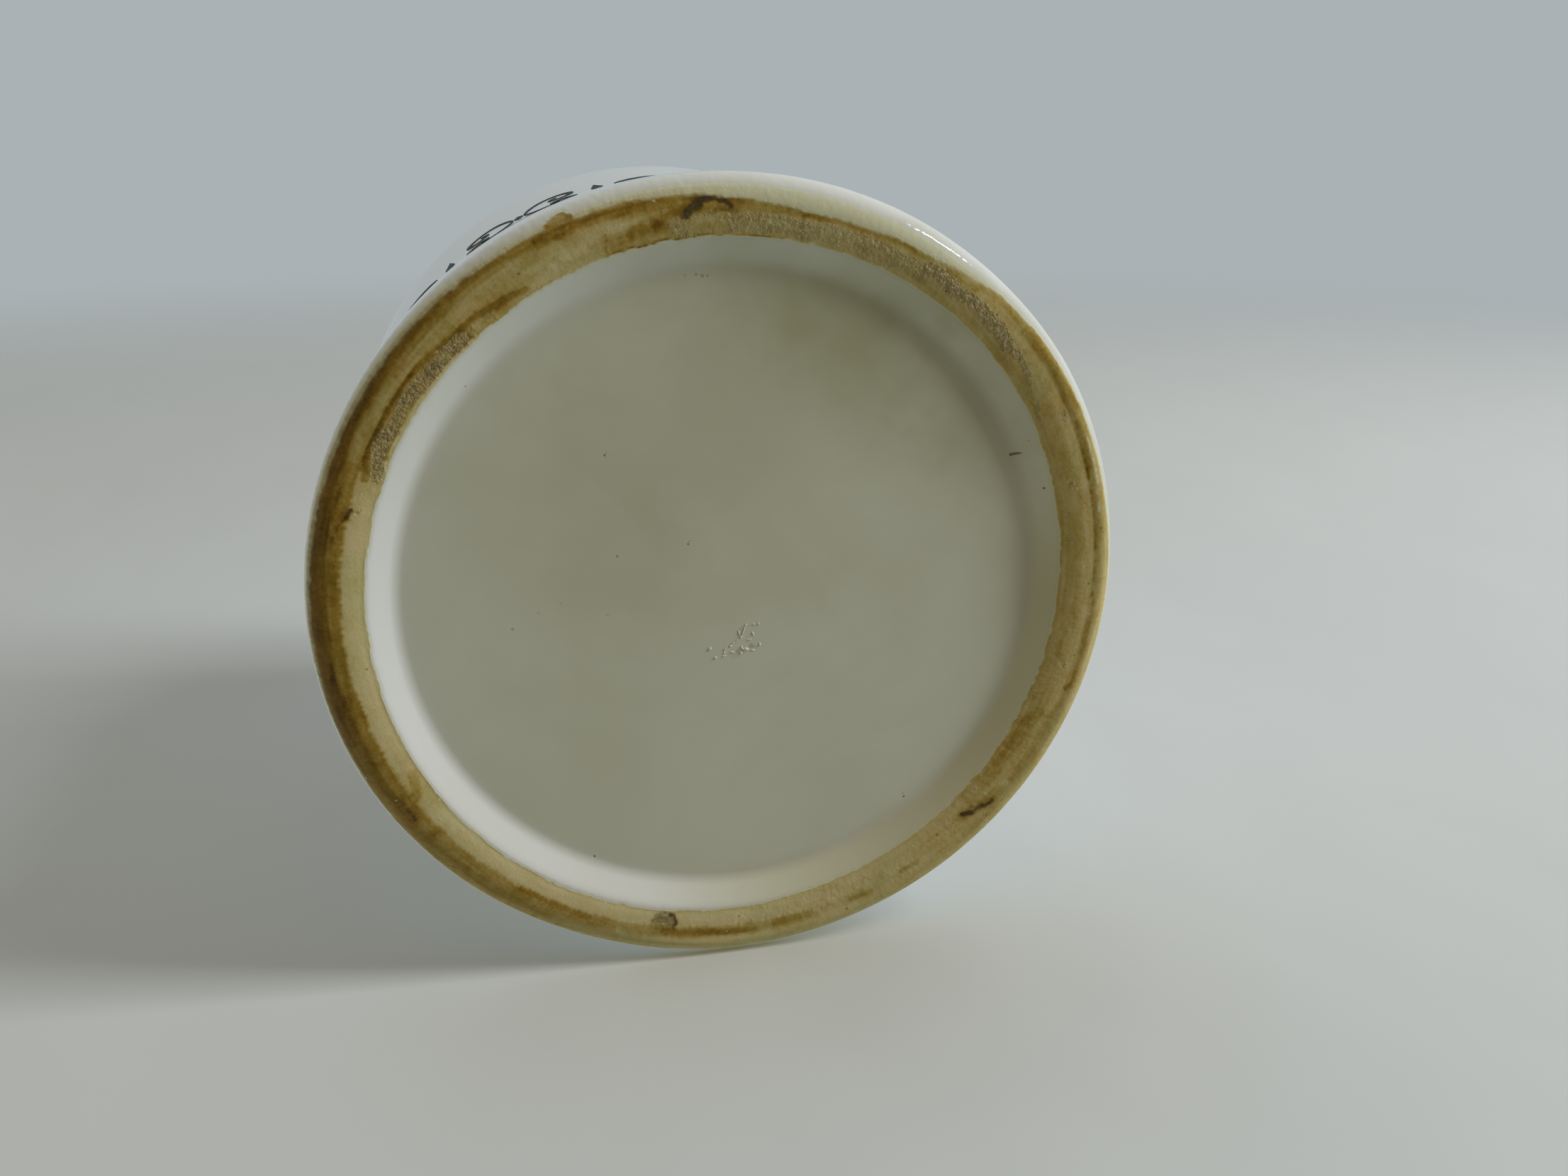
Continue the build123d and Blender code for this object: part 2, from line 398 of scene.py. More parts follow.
INNER_FLASH = (
    (0, 0.26), (8, 0.32), (11, 0.44), (17, 0.52), (20, 0.38), (40, 0.28), (60, 0.32), (90, 0.38),
    (130, 0.38), (150, 0.42), (165, 0.32), (180, 0.20), (205, 0.10), (262, 0.12), (268, 0.36),
    (274, 0.20), (290, 0.14), (312, 0.16), (322, 0.36), (346, 0.42), (352, 0.50), (356, 0.32), (360, 0.26),
)
# Brush strokes: the points that the brush passes, in degrees round the jar and millimetres from the
# axis, then its half width and its softness in millimetres, and how much it lays on.
FLASHED = (
    (((27.5, 51.3), (33, 51.0), (38, 50.8)), 0.4, 0.5, 0.06),
    (((38, 50.8), (46, 50.8), (52, 51.1), (58, 51.2), (66, 51.7)), 0.10, 0.4, 0.22),
    (((21, 52.2), (26, 52.2), (30, 51.7)), 0.1, 0.6, 0.14),
    (((66, 52.4), (74, 52.9), (84, 53.3), (90, 53.4)), 0.15, 0.5, 0.12),
    (((76, 52.6), (88, 52.4)), 0.2, 0.6, 0.10),
    (((0, 52.5), (8, 52.3), (14, 52.2), (19, 52.0)), 0.4, 0.6, 0.16),
    (((0, 51.0), (7, 50.9), (12, 50.6)), 0.5, 0.6, -0.14),
    (((10.5, 50.4), (14, 50.6), (15, 50.2)), 0.2, 0.4, -0.18),
    (((3.4, 54.0), (4.6, 54.2)), 0.2, 0.4, -0.24),
    (((8.6, 48.0), (8.9, 49.2), (9.4, 50.0)), 0.1, 0.25, 0.18),
    (((16.2, 49.6), (18.2, 50.5), (20.5, 51.0)), 0.25, 0.5, 0.16),
    (((10.0, 48.3), (12.5, 48.8)), 0.4, 0.7, 0.14),
    (((13.0, 49.2), (15.5, 49.7), (17.4, 49.2)), 0.5, 0.6, 0.16),
    (((8, 47.55), (22, 47.5), (36, 47.55)), 0.02, 0.18, 0.35),
    (((1, 48.6), (3, 49.6), (6, 49.4)), 0.4, 0.5, -0.16),
    (((92, 52.35), (100, 52.3), (112, 52.3), (122, 52.4)), 0.06, 0.2, 0.30),
    (((99.5, 52.4), (103.5, 52.2)), 0.1, 0.35, 0.20),
    (((124, 52.4), (135, 52.6), (136.5, 52.0)), 0.15, 0.35, 0.22),
    (((140, 51.9), (148, 51.8), (154, 51.8)), 0.25, 0.5, 0.16),
    (((142, 49.5), (148, 48.6), (157, 48.8)), 0.7, 0.8, 0.12),
    (((157, 51.6), (161, 50.6), (165, 50.0)), 0.5, 0.8, 0.12),
    (((184, 51.8), (187.5, 51.6)), 0.3, 0.4, 0.22),
    (((175, 51.3), (178, 51.0)), 0.2, 0.4, 0.20),
    (((195, 51.4), (200, 51.3)), 0.5, 0.5, 0.18),
    (((204, 51.6), (212, 51.4), (219, 51.3)), 0.35, 0.35, 0.16),
    (((232, 50.9), (238, 50.6), (244, 50.7)), 0.3, 0.35, 0.18),
    (((202, 53.2), (222, 53.1), (236, 53.0)), 0.5, 0.8, -0.12),
    (((267, 49.8), (269.5, 49.0), (271, 48.6)), 0.4, 0.5, 0.22),
    (((283, 52.2), (296, 52.1), (308, 52.0)), 0.2, 0.6, -0.06),
    (((318, 52.4), (330, 52.6), (345, 52.7), (356, 52.5)), 0.12, 0.35, -0.20),
    (((322, 51.6), (336, 51.7), (356, 51.4)), 0.6, 0.6, -0.12),
    (((319.5, 49.6), (322, 50.3), (330, 50.5), (336, 50.4)), 0.2, 0.35, 0.34),
    (((321, 48.8), (333, 48.9), (345, 48.5)), 0.6, 0.6, 0.16),
    (((336, 50.4), (344, 49.7), (350, 49.2), (356, 48.5)), 0.25, 0.4, 0.30),
    (((309, 52.0), (312, 51.2), (313.4, 50.5)), 0.04, 0.15, 0.20),
    (((320.5, 47.75), (334, 47.62), (346, 47.6)), 0.08, 0.22, -0.60),
)
BURNT = (
    (((21.0, 50.3), (21.8, 50.9), (22.8, 51.5)), 0.50, 0.5, 0.84),
    (((22.9, 51.4), (24.2, 51.5)), 0.1, 0.5, 0.55),
    (((22.9, 51.8), (24.0, 52.1), (25.4, 51.9), (26.9, 51.6), (27.3, 51.2)), 0.20, 0.40, 0.95),
    (((27.4, 51.3), (27.5, 50.7)), 0.05, 0.4, 0.5),
    (((25.0, 50.5), (26.6, 50.6), (27.9, 50.3)), 0.2, 0.5, 0.58),
    (((9.0, 50.0), (9.5, 49.4)), 0.08, 0.4, 0.40), (((3.5, 51.7), (4.2, 51.4)), 0.05, 0.4, 0.42),
    (((13.3, 53.1), (13.6, 52.7)), 0.05, 0.3, 0.35), (((21.0, 53.4), (22.0, 53.0)), 0.05, 0.35, 0.38),
    (((98.8, 52.6), (99.3, 52.2)), 0.08, 0.4, 0.30), (((94.4, 52.0), (94.8, 51.6)), 0.04, 0.3, 0.35),
    (((134.2, 53.0), (136.0, 52.7), (136.8, 52.0)), 0.12, 0.45, 0.34),
    (((159.0, 51.9), (159.8, 51.6), (160.4, 51.0)), 0.18, 0.45, 0.86),
    (((160.4, 51.1), (161.6, 50.8), (162.4, 50.8)), 0.20, 0.5, 0.66),
    (((160.8, 50.5), (162.0, 49.9)), 0.1, 0.4, 0.5),
    (((162.4, 50.7), (163.2, 50.2), (163.7, 49.8)), 0.18, 0.42, 0.95),
    (((161.2, 49.7), (161.9, 49.0)), 0.05, 0.35, 0.45),
    (((217.7, 50.3), (217.4, 49.6), (217.8, 48.8), (218.6, 48.5)), 0.16, 0.42, 0.80),
    (((218.6, 48.5), (220.0, 48.5), (221.2, 49.1), (221.4, 49.8)), 0.12, 0.42, 0.62),
    (((221.4, 49.8), (220.4, 50.4), (219.0, 50.5), (217.7, 50.3)), 0.1, 0.4, 0.50),
    (((218.6, 49.5), (219.6, 49.3), (220.4, 49.5)), 0.5, 0.5, 0.60),
    (((185, 51.9), (187, 51.6)), 0.15, 0.6, 0.18),
    (((253.0, 52.3), (253.2, 51.9)), 0.05, 0.3, 0.45), (((260.4, 52.2), (260.5, 50.4)), 0.03, 0.25, 0.42),
    (((264.4, 52.1), (265.4, 51.8), (266.4, 51.8)), 0.16, 0.45, 0.66),
    (((267.4, 51.9), (268.3, 51.8)), 0.14, 0.45, 0.55),
    (((275, 52.5), (277, 52.2)), 0.3, 0.7, 0.30), (((284.6, 53.2), (285.4, 52.4)), 0.3, 0.6, 0.32),
    (((289.1, 53.1), (289.3, 52.9)), 0.06, 0.2, 1.0), (((326, 53.9), (334, 54.0)), 0.1, 0.4, 0.28),
    (((313.6, 50.5), (314.5, 50.2)), 0.16, 0.42, 0.90), (((314.2, 50.0), (314.5, 49.7)), 0.1, 0.3, 0.45),
    (((321, 50.1), (326, 50.3), (333, 50.1)), 0.06, 0.45, 0.34),
    (((321, 48.8), (333, 48.9), (345, 48.5)), 0.6, 0.6, 0.36),
    (((290.2, 50.5), (290.3, 50.0)), 0.03, 0.2, 0.35), (((303.6, 52.0), (303.9, 51.4)), 0.03, 0.2, 0.3),
)
SANDED = (
    (((20, 49.0), (38, 49.0), (57, 49.2)), 1.1, 0.6, 0.56), (((22, 48.8), (26.5, 48.9)), 0.5, 0.6, -0.25),
    (((58, 50.4), (64, 50.0), (69, 50.3), (76, 49.7)), 0.60, 0.9, 0.90),
    (((56, 48.6), (66, 48.5), (78, 48.4)), 0.4, 0.7, 0.40), (((77, 50.0), (83, 49.4)), 0.25, 0.7, 0.70),
    (((84, 49.0), (89, 48.3)), 0.20, 0.6, 0.60), (((90, 51.6), (91, 51.2)), 0.25, 0.4, 0.6),
    (((321.0, 48.4), (323.5, 49.2), (333, 49.0), (344, 48.6)), 0.75, 0.6, 0.66),
    (((0.5, 49.2), (6.5, 48.6)), 0.4, 0.8, 0.34), (((350, 49.6), (357, 49.2)), 0.3, 0.8, 0.30),
    (((345, 48.6), (350, 48.4)), 0.4, 0.7, 0.45), (((218.6, 49.6), (220.0, 49.4)), 0.5, 0.5, 0.3),
    (((314.2, 49.3), (314.8, 49.1)), 0.12, 0.25, 0.9), (((90, 48.4), (92, 48.0)), 0.2, 0.5, 0.5),
    (((101, 50.0), (101.8, 49.6)), 0.08, 0.25, 0.8), (((111.3, 48.9), (111.6, 48.7)), 0.05, 0.25, 1.0),
    (((132.6, 50.8), (133.4, 50.7)), 0.08, 0.3, 0.8), (((135, 48.2), (139, 47.9)), 0.15, 0.4, 0.45),
    (((176, 51.4), (186, 50.0), (206, 49.2)), 1.1, 1.6, 0.34),
    (((120, 50.2), (150, 49.6), (170, 49.4)), 0.8, 1.6, 0.26),
)
DRIPPED = ((((2.9, 53.5), (3.9, 54.2), (5.0, 54.4), (5.6, 53.8)), 0.42, 0.45, 1.0),)
CHIPPED = (
    (((58.3, 52.0), (58.6, 52.7)), 0.1, 0.2, 1.0), (((59.2, 52.2), (60.4, 52.0)), 0.06, 0.2, 0.7),
    (((95, 53.4), (101, 53.3), (107, 53.0)), 0.08, 0.25, 0.4),
)
# How ragged the brush strokes are and how long a degree of the ring is, in millimetres; how much
# longer the heel's curve is than its chord; and an end that lies past everything on the jar.
RAGGED = 0.24
DEGREE = 0.9
ALONG_HEEL = 1.08
NO_END = 999
# The ragged edges come out the same each time.
RAGGED_SEED = 7
noise.seed_set(RAGGED_SEED)
LAYERS = ("glaze", "bare", "flash", "sand", "burnt")


def fading(value, low, high, soft):
    """1 from low to high, and smoothly down to 0 over soft beyond them."""
    outside = max(low - value, value - high, 0.0)
    rest = max(0.0, 1.0 - outside / soft)
    return rest * rest * (3 - 2 * rest)


def going_round(turn, stops):
    """A value between its stops round the jar."""
    for before, after in zip(stops, stops[1:]):
        if before[0] <= turn <= after[0]:
            return before[1] + (after[1] - before[1]) * (turn - before[0]) / (after[0] - before[0])
    return stops[0][1]


def off_line(turn, reach, start, end):
    """Millimetres from a place on the ring to the straight line between two points."""
    along = ((end[0] - start[0]) * DEGREE, end[1] - start[1])
    to_place = ((turn - start[0]) * DEGREE, reach - start[1])
    share = (to_place[0] * along[0] + to_place[1] * along[1]) / (along[0] ** 2 + along[1] ** 2)
    share = min(max(share, 0.0), 1.0)
    return math.hypot(to_place[0] - share * along[0], to_place[1] - share * along[1])


def ready(strokes, wider=0.0):
    """Brush strokes, each with the degrees between which it can be felt."""
    result = []
    for points, half_width, soft, strength in strokes:
        soft += wider
        spread = (half_width + soft) / DEGREE
        turns = [point[0] for point in points]
        result.append((min(turns) - spread, max(turns) + spread, points, half_width, soft, strength))
    return result


def laid_on(turn, reach, strokes, added=False):
    """What some brush strokes lay on at a place on the ring: the strongest of them, or their sum."""
    result = 0.0
    for first, last, points, half_width, soft, strength in strokes:
        if first < turn < last:
            apart = min(off_line(turn, reach, a, b) for a, b in zip(points, points[1:]))
            weight = fading(apart, 0, half_width, soft) * strength
            result = result + weight if added or weight < 0 else max(result, weight)
    return result


def over_heel(point):
    """Millimetres from the axis along the ring, and then on along the heel's curve and the wall."""
    reach = axis_distance(point) / MM
    height = point.z / MM
    if reach < HEEL_START:
        return reach
    return HEEL_START + math.hypot(reach - HEEL_START, height) * ALONG_HEEL


def turn_of(point):
    """Degrees round the jar from the front, towards +X."""
    return math.degrees(math.atan2(point.x, -point.y)) % 360


SCORCHED = ready(BURNT, 0.7)
FLASHED, BURNT, SANDED = ready(FLASHED), ready(BURNT), ready(SANDED)
DRIPPED, CHIPPED = ready(DRIPPED), ready(CHIPPED)


def paint_foot(point):
    """Glaze, flash, sand and burning at a point of the foot, each from 0 to 1."""
    turn = turn_of(point)
    reach = over_heel(point)
    drift = noise.noise_vector(point * 350)
    ripple = noise.noise_vector(point * 1300)
    dragged = noise.noise(Vector((turn * 1.7, reach * 0.3, 0)))
    smeared = noise.noise(Vector((turn * 0.15, reach * 1.9, 9)))
    turn_here = turn + 0.45 * drift.x + 0.3 * ripple.x
    reach_here = reach + RAGGED * (drift.y + 0.7 * ripple.y)
    starts = going_round(turn, OUTER_EDGE)
    # The thick white edge of the glaze, pulled in between 84 and 112 degrees as a painted highlight along
    # the rim.
    milky_and_highlight = going_round(turn, MILKY_EDGE_AND_HIGHLIGHT)
    thin = going_round(turn, THIN_GLAZE)
    thick_and_highlight_here = reach + 0.12 * dragged + 0.3 * (reach_here - reach)
    # Thick white glaze, and between 84 and 112 degrees a painted highlight along the rim.
    thick_and_highlight = fading(thick_and_highlight_here, milky_and_highlight, NO_END, min(milky_and_highlight - starts, 0.9))
    glaze = thin * fading(reach_here + 0.10 * dragged, starts + 0.35, NO_END, 0.5) + (1 - thin) * thick_and_highlight
    glaze *= 1 - 0.85 * laid_on(turn_here, reach_here, DRIPPED)
    glaze = max(glaze, laid_on(turn_here, reach_here, CHIPPED))
    inside = reach + 0.20 * drift.y + 0.12 * ripple.y
    glaze += fading(inside, 0, going_round(turn, INNER_EDGE), 0.26)
    to_outer = fading(reach_here + 0.5 * smeared, 52.7, NO_END, 0.9)
    to_inner = fading(reach_here + 0.3 * dragged, 0, 50.0, 0.7)
    flash = going_round(turn, MIDDLE_FLASH) * (1 - to_outer) * (1 - to_inner)
    flash += going_round(turn, OUTER_FLASH) * to_outer + going_round(turn, INNER_FLASH) * to_inner
    flash += laid_on(turn_here, reach_here, FLASHED, True) + 0.14 * smeared + 0.04 * dragged
    flash += 0.22 * laid_on(turn_here, reach_here, SCORCHED)
    sand = laid_on(turn_here + 0.9 * drift.z, reach_here + 0.32 * drift.x + 0.2 * ripple.z, SANDED)
    burnt = laid_on(turn_here, reach_here, BURNT)
    return min(glaze, 1.0), min(max(flash, 0.0), 1.0), max(sand, 0.0), min(burnt, 1.0)


def blank_layers(piece, names):
    """Layers of paint with nothing on them yet."""
    return {name: [0.0] * len(piece.data.vertices) for name in names}


def keep_layers(piece, layers):
    """Keeps the layers in a piece, as attributes for its finish and as groups for its relief."""
    for name, weights in layers.items():
        shade = piece.data.attributes.new(name, "FLOAT", "POINT")
        shade.data.foreach_set("value", weights)
        group = piece.vertex_groups.new(name=name)
        for number, weight in enumerate(weights):
            if weight > 0.001:
                group.add([number], weight, "REPLACE")


layers = blank_layers(jar, LAYERS + ("heel",))
for vertex in jar.data.vertices:
    low = vertex.co.z < 8 * MM and axis_distance(vertex.co) > 46 * MM
    on_base = vertex.co.z > 2.7 * MM and axis_distance(vertex.co) < 50 * MM
    if on_base or not low:
        layers["glaze"][vertex.index] = 1.0
        continue
    glaze, flash, sand, burnt = paint_foot(vertex.co)
    layers["glaze"][vertex.index] = glaze
    layers["bare"][vertex.index] = 1 - glaze
    layers["flash"][vertex.index] = flash
    layers["sand"][vertex.index] = sand * (1 - glaze)
    layers["burnt"][vertex.index] = burnt * (1 - 0.7 * glaze)
    turn = turn_of(vertex.co)
    sharp = fading(turn, 88, 208, 28) * fading(axis_distance(vertex.co) / MM, 53.4, NO_END, 1.6)
    layers["heel"][vertex.index] = sharp * fading(vertex.co.z / MM, 0, 1.2, 3.0)
keep_layers(jar, layers)


def take_up(pieces):
    """Selects some pieces and nothing else, and makes the first of them active."""
    bpy.ops.object.select_all(action="DESELECT")
    for piece in pieces:
        piece.select_set(True)
    bpy.context.view_layer.objects.active = pieces[0]


def pressed(piece, layer, strength, middle, grain=None):
    """Raises a piece along its normals where a layer was painted, evenly or with a grain's noise."""
    relief = piece.modifiers.new(layer, "DISPLACE")
    relief.vertex_group = layer
    relief.strength = strength
    relief.mid_level = middle
    relief.texture_coords = "LOCAL"
    if grain:
        relief.texture = bpy.data.textures.new(layer, "CLOUDS")
        relief.texture.noise_scale = grain
        relief.texture.noise_depth = 2
    take_up([piece])
    bpy.ops.object.modifier_apply(modifier=relief.name)


pressed(jar, "heel", 0.50 * MM, 0.0)
pressed(jar, "bare", -GLAZE_THICKNESS, 0.0)
pressed(jar, "sand", 0.27 * MM, 0.45, 0.50 * MM)
pressed(jar, "flash", 0.13 * MM, 0.5, 0.8 * MM)

# The glaze: milky white, a little uneven, with a fine ripple and a speck here and there.
GLAZE_WHITE = (0.86, 0.865, 0.85, 1)
GLAZE_POOLED = (0.835, 0.835, 0.805, 1)
BASE_WHITE = (0.825, 0.825, 0.735, 1)
BASE_POOLED = (0.775, 0.775, 0.665, 1)
GLAZE_SPECK = (0.30, 0.26, 0.18, 1)
GLAZE_IVORY = (0.80, 0.79, 0.57, 1)
# Pinholes and chips in the glaze of the base and its edge: millimetres across from the axis and
# back, radius and how dark.
PINHOLES = (
    (-5.4, -25.2, 0.20, 0.6), (-5.0, -25.4, 0.10, 0.5), (-1.7, -9.1, 0.20, 0.6), (-1.35, -9.4, 0.10, 0.5),
    (7.6, 41.8, 0.20, 0.8), (7.7, 41.2, 0.12, 0.6), (-35.2, 24.9, 0.20, 0.8), (-27.5, -10.7, 0.26, 0.30),
    (-23.5, -10.9, 0.22, 0.16), (-20.3, -10.6, 0.22, 0.16), (-15.8, -5.9, 0.24, 0.18),
    (43.2, 2.5, 0.28, 1.0), (43.6, 2.6, 0.26, 1.0), (43.9, 2.7, 0.24, 1.0), (44.2, 2.8, 0.22, 1.0),
    (44.5, 2.9, 0.15, 0.8), (45.9, 1.5, 0.12, 0.5), (45.2, 8.8, 0.20, 0.9), (15.9, -39.7, 0.22, 0.35),
    (16.5, -39.2, 0.28, 0.40), (17.1, -38.9, 0.20, 0.35), (14.6, -40.3, 0.22, 0.2),
    (-16.0, -41.4, 0.14, 0.5), (-1.1, 8.4, 0.46, 0.30), (-3.1, 8.1, 0.36, 0.32),
    (-1.2, 5.4, 0.36, 0.16), (-3.9, 8.4, 0.60, 0.10),
)
PINHOLE_BROWN = (0.13, 0.095, 0.055, 1)
# Brown spots in the glaze of the base: a few faint stains, and mostly painted shade where the ring
# shades the base, with painted brown bounce light from the ring. Millimetres across from the axis
# and back, radius and how strong. The corner under the ring is painted yellower round a direction
# from the axis, partly a stain and partly painted warm shade. They fade out up the outside of the wall.
STAINS_AND_SHADE = (
    (16, -20, 42, 0.36), (-14, -18, 24, 0.14), (32, -23, 15, 0.54), (20, -36, 12, 0.28), (42, -6, 14, 0.42),
    (41, -24, 9, 0.26), (38, 20, 10, 0.14), (-2, 30, 12, 0.05), (-26, 12, 13, 0.05), (16, 8, 11, 0.06),
    (-12, -10, 9, 0.05),
)
STAIN_AND_SHADE_END = 7.5 * MM
STAIN_AND_SHADE_TINT = (0.64, 0.62, 0.42, 1)
YELLOW_SHADE_TOWARDS = (0.42, 0.906, 0)
YELLOW_SHADE_STRENGTH = 0.40
YELLOW_SHADE_TINT = (0.68, 0.62, 0.15, 1)
CLAY_COLOURS = (
    (0.0, (0.78, 0.67, 0.39, 1)), (0.25, (0.70, 0.57, 0.285, 1)), (0.45, (0.58, 0.43, 0.15, 1)),
    (0.62, (0.44, 0.28, 0.055, 1)), (0.80, (0.28, 0.155, 0.018, 1)), (1.0, (0.13, 0.066, 0.008, 1)),
)
OLIVE_TINT = (0.93, 0.97, 0.92, 1)
SAND_PALE = (0.72, 0.645, 0.45, 1)
SAND_DARK = (0.38, 0.31, 0.18, 1)
SAND_GAPS = (0.25, 0.19, 0.10, 1)
FLECK_DARK = (0.13, 0.08, 0.025, 1)
FLECK_PALE = (0.84, 0.78, 0.60, 1)
BURNT_COLOUR = (0.06, 0.042, 0.022, 1)


def group_tree(name, takes, gives):
    """An empty node group with its sockets, and its own input and output nodes."""
    made = bpy.data.node_groups.new(name, "ShaderNodeTree")
    for socket, kind, value in takes:
        made.interface.new_socket(socket, in_out="INPUT", socket_type=kind).default_value = value
    for socket, kind in gives:
        made.interface.new_socket(socket, in_out="OUTPUT", socket_type=kind)
    return made, made.nodes.new("NodeGroupInput"), made.nodes.new("NodeGroupOutput")


def grouped(tree, group, values=None):
    """A node group placed in a material."""
    return place(tree, "ShaderNodeGroup", values, node_tree=group)


def noise_at(tree, where, scale, detail=2.0, roughness=0.5, distortion=0.0):
    """A noise texture's value."""
    values = {
        "Vector": where, "Scale": scale, "Detail": detail, "Roughness": roughness, "Distortion": distortion
    }
    return place(tree, "ShaderNodeTexNoise", values).outputs["Fac"]


def along_axis(tree, where):
    """The height of a point, and its place as seen along the axis of the jar."""
    sides = place(tree, "ShaderNodeSeparateXYZ", {0: where}).outputs
    flat = place(tree, "ShaderNodeCombineXYZ", {"X": sides["X"], "Y": sides["Y"]})
    return sides["Z"], flat.outputs[0]


def swayed(tree, value, noise_value, amount):
    """A value moved up and down by a noise."""
    swing = maths(tree, "SUBTRACT", noise_value, 0.5)
    return maths(tree, "MULTIPLY_ADD", swing, amount, value)


# White glaze, as a group: its colour, and the height of its ripple and specks.
white_glaze, takes, gives = group_tree(
    "white_glaze",
    (("White", "NodeSocketColor", GLAZE_WHITE), ("Pooled", "NodeSocketColor", GLAZE_POOLED)),
    (("Color", "NodeSocketColor"), ("Height", "NodeSocketFloat")),
)
tree = white_glaze
where = own_place(tree)
clouds = noise_at(tree, where, 32.0, 3.0, 0.55, 0.6)
clouds = smooth_step(tree, clouds, 0.36, 0.68)
milk = blended(tree, clouds, takes.outputs["White"], takes.outputs["Pooled"])
dots = place(tree, "ShaderNodeTexVoronoi", {"Vector": where, "Scale": 190.0})
near_dot = smooth_step(tree, dots.outputs["Distance"], 0.022, 0.045, 1.0, 0.0)
chosen = place(tree, "ShaderNodeSeparateColor", {0: dots.outputs["Color"]}).outputs[0]
chosen = maths(tree, "GREATER_THAN", chosen, 0.90)
speck = maths(tree, "MULTIPLY", near_dot, chosen)
milk = blended(tree, maths(tree, "MULTIPLY", speck, 0.6), milk, GLAZE_SPECK)
ripple = noise_at(tree, where, 420.0, 2.0, 0.5)
wide_ripple = noise_at(tree, where, 90.0, 1.0, 0.5)
ripple = maths(tree, "MULTIPLY_ADD", wide_ripple, 2.5, ripple)
ripple = maths(tree, "MULTIPLY_ADD", speck, -3.0, ripple)
tree.links.new(milk, gives.inputs["Color"])
tree.links.new(ripple, gives.inputs["Height"])

# Pinholes, as a group: how dark each place is on the base and on the slope up to the ring.
pinholes, takes, gives = group_tree("pinholes", (), (("Dark", "NodeSocketFloat"),))
tree = pinholes
where = own_place(tree)
height, across = along_axis(tree, where)
wobble = noise_at(tree, where, 3500.0, 1.0)
dark = None
for x, y, radius, depth in PINHOLES:
    apart = vector_maths(tree, "DISTANCE", across, (x * MM, y * MM, 0))
    apart = swayed(tree, apart, wobble, 0.4 * radius * MM)
    hole = smooth_step(tree, apart, 0.35 * radius * MM, 1.25 * radius * MM, depth, 0.0)
    dark = hole if dark is None else maths(tree, "MAXIMUM", dark, hole)
on_base = maths(tree, "LESS_THAN", height, BASE_TOP)
tree.links.new(maths(tree, "MULTIPLY", dark, on_base), gives.inputs["Dark"])

# Stains and painted shade, as a group: how brown each place is on the base, from faint stains and
# painted shade from the ring, and how yellow in its corner, from a stain and painted warm shade.
stains_and_shade, takes, gives = group_tree(
    "stains_and_shade", (), (("BrownShade", "NodeSocketFloat"), ("YellowShade", "NodeSocketFloat"))
)
tree = stains_and_shade
where = own_place(tree)
wander = noise_at(tree, where, 70.0, 3.0, 0.55)
# The spots add up: a few faint stains, and painted shade where the ring shades the base.
brown_shade = None
for x, y, radius, depth in STAINS_AND_SHADE:
    apart = vector_maths(tree, "DISTANCE", where, (x * MM, y * MM, BASE_Z * MM))
    apart = swayed(tree, apart, wander, radius * MM)
    stain_shade = smooth_step(tree, apart, 0.1 * radius * MM, 1.2 * radius * MM, depth, 0.0)
    brown_shade = stain_shade if brown_shade is None else maths(tree, "ADD", brown_shade, stain_shade)
height, across = along_axis(tree, where)
reach = vector_maths(tree, "LENGTH", across)
# Painted warm shade with a stain: the corner under the ring is yellower towards one side.
around = vector_maths(tree, "NORMALIZE", across, result="Vector")
towards = vector_maths(tree, "DOT_PRODUCT", around, YELLOW_SHADE_TOWARDS)
yellow_shade = smooth_step(tree, towards, 0.3, 0.85, 0.0, YELLOW_SHADE_STRENGTH)
in_corner = smooth_step(tree, swayed(tree, reach, wander, 3 * MM), 42.0 * MM, 45.0 * MM)
tree.links.new(brown_shade, gives.inputs["BrownShade"])
tree.links.new(maths(tree, "MULTIPLY", yellow_shade, in_corner), gives.inputs["YellowShade"])

# Bare clay, as a group: its colour and grain, from how flashed, sandy and burnt it is. It was wiped
# both round the ring and across it, which leaves fine streaks of both kinds.
bare_clay, takes, gives = group_tree(
    "bare_clay",
    (("Flash", "NodeSocketFloat", 0.3), ("Sand", "NodeSocketFloat", 0.0),
     ("Burnt", "NodeSocketFloat", 0.0)),
    (("Color", "NodeSocketColor"), ("Height", "NodeSocketFloat"), ("Streaks", "NodeSocketFloat"),
     ("Roughness", "NodeSocketFloat")),
)
tree = bare_clay
where = own_place(tree)
height, across = along_axis(tree, where)
reach = vector_maths(tree, "LENGTH", across)
around = vector_maths(tree, "NORMALIZE", across, result="Vector")
around = place(tree, "ShaderNodeSeparateXYZ", {0: around})


def wiped(across_scale, along_scale):
    """Coordinates that are stretched along the ring or across it."""
    along = {side: maths(bare_clay, "MULTIPLY", around.outputs[side], along_scale) for side in "XY"}
    outwards = maths(bare_clay, "MULTIPLY", reach, across_scale)
    return place(bare_clay, "ShaderNodeCombineXYZ", {**along, "Z": outwards}).outputs[0]


